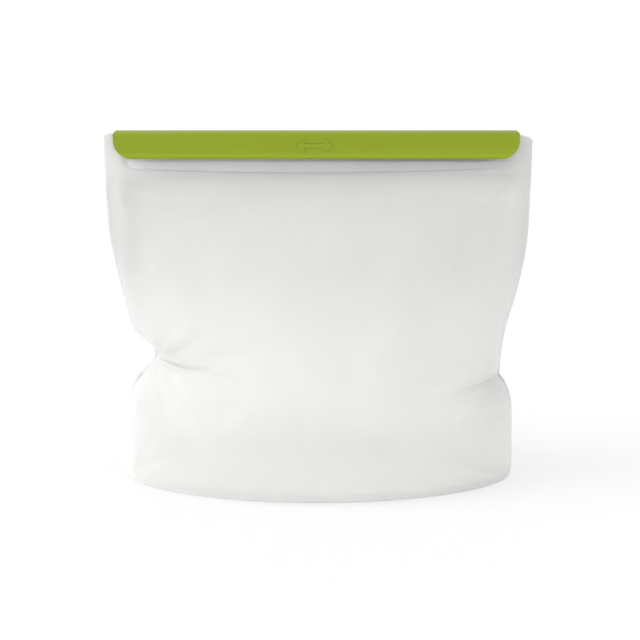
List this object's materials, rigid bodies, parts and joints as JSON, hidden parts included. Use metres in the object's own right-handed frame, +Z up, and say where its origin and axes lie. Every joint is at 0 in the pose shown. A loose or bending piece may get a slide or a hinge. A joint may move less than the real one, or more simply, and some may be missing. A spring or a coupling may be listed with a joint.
{
  "type": "reusable silicone bag",
  "caption": "Stand-up frosted silicone food bag with a folded gusset floor, a press zip inside the mouth and a rigid C-section bar that slides off sideways.",
  "frame": {"origin": "on the table, under the middle of the mouth and midway between the front and back walls", "axes": "+X along the mouth and the sealing bar, +Y towards the back wall, +Z up"},
  "size_m": [0.213, 0.0952, 0.18],
  "materials": {
    "sheet_silicone": "frosted translucent",
    "firm_silicone": "frosted translucent, thicker",
    "bar_green": "satin"
  },
  "bodies": {
    "pouch": {"front_panel": "sheet_silicone", "back_panel": "sheet_silicone", "base_gusset": "sheet_silicone"},
    "front_lip": {"front_rail": "firm_silicone", "front_zip_rib": "firm_silicone"},
    "back_lip": {"back_rail": "firm_silicone", "back_zip_channel": "firm_silicone"},
    "bar": {"slide_bar": "bar_green"}
  },
  "joints": [
    {"name": "bar_slide", "type": "slide", "parent": "pouch", "child": "bar", "axis": [1, 0, 0], "range_m": [0, 0.215]},
    {"name": "front_lip_open", "type": "hinge", "parent": "pouch", "child": "front_lip", "pos_m": [0, -0.008, 0.085], "axis": [1, 0, 0], "range_deg": [0, 22], "deforming": ["front_rail", "front_zip_rib"]},
    {"name": "back_lip_open", "type": "hinge", "parent": "pouch", "child": "back_lip", "pos_m": [0, 0.008, 0.085], "axis": [-1, 0, 0], "range_deg": [0, 22], "deforming": ["back_rail", "back_zip_channel"]}
  ],
  "couplings": [
    {"joint": "front_lip_open", "follows": "bar_slide", "rad_per_m": 1.7859},
    {"joint": "back_lip_open", "follows": "bar_slide", "rad_per_m": 1.7859}
  ]
}
